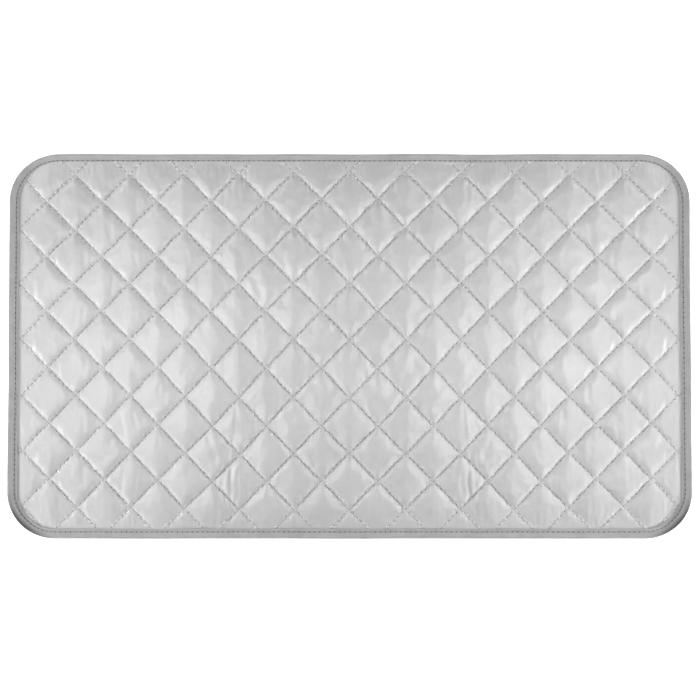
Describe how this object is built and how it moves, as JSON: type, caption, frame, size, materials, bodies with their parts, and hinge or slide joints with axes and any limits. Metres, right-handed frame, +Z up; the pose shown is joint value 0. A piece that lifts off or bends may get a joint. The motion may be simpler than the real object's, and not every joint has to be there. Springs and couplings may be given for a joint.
{
  "type": "ironing pad",
  "caption": "Flat quilted ironing pad with rounded corners: silver face cloth, wadding and backing sewn in diamonds and bound with tape, laid on a table to iron on.",
  "frame": {"origin": "under the middle of the pad, on the table that it lies on", "axes": "+X along the pad, +Y across it towards the far edge in the picture, +Z up out of the ironing face"},
  "size_m": [0.85, 0.48, 0.0078],
  "materials": {
    "silver_cloth": "silver coated satin cloth",
    "wadding": "polyester fibre wadding",
    "backing_cloth": "plain woven cloth",
    "binding_tape": "ribbed polyester tape",
    "sewing_thread": "spun polyester thread"
  },
  "bodies": {
    "root": {"backing_cloth": "backing_cloth", "binding_thread": "sewing_thread", "edge_binding": "binding_tape", "face_cloth": "silver_cloth", "quilt_thread_falling_01": "sewing_thread", "quilt_thread_falling_02": "sewing_thread", "quilt_thread_falling_03": "sewing_thread", "quilt_thread_falling_04": "sewing_thread", "quilt_thread_falling_05": "sewing_thread", "quilt_thread_falling_06": "sewing_thread", "quilt_thread_falling_07": "sewing_thread", "quilt_thread_falling_08": "sewing_thread", "quilt_thread_falling_09": "sewing_thread", "quilt_thread_falling_10": "sewing_thread", "quilt_thread_falling_11": "sewing_thread", "quilt_thread_falling_12": "sewing_thread", "quilt_thread_falling_13": "sewing_thread", "quilt_thread_falling_14": "sewing_thread", "quilt_thread_falling_15": "sewing_thread", "quilt_thread_falling_16": "sewing_thread", "quilt_thread_falling_17": "sewing_thread", "quilt_thread_falling_18": "sewing_thread", "quilt_thread_rising_01": "sewing_thread", "quilt_thread_rising_02": "sewing_thread", "quilt_thread_rising_03": "sewing_thread", "quilt_thread_rising_04": "sewing_thread", "quilt_thread_rising_05": "sewing_thread", "quilt_thread_rising_06": "sewing_thread", "quilt_thread_rising_07": "sewing_thread", "quilt_thread_rising_08": "sewing_thread", "quilt_thread_rising_09": "sewing_thread", "quilt_thread_rising_10": "sewing_thread", "quilt_thread_rising_11": "sewing_thread", "quilt_thread_rising_12": "sewing_thread", "quilt_thread_rising_13": "sewing_thread", "quilt_thread_rising_14": "sewing_thread", "quilt_thread_rising_15": "sewing_thread", "quilt_thread_rising_16": "sewing_thread", "quilt_thread_rising_17": "sewing_thread", "quilt_thread_rising_18": "sewing_thread", "wadding": "wadding"}
  },
  "joints": []
}
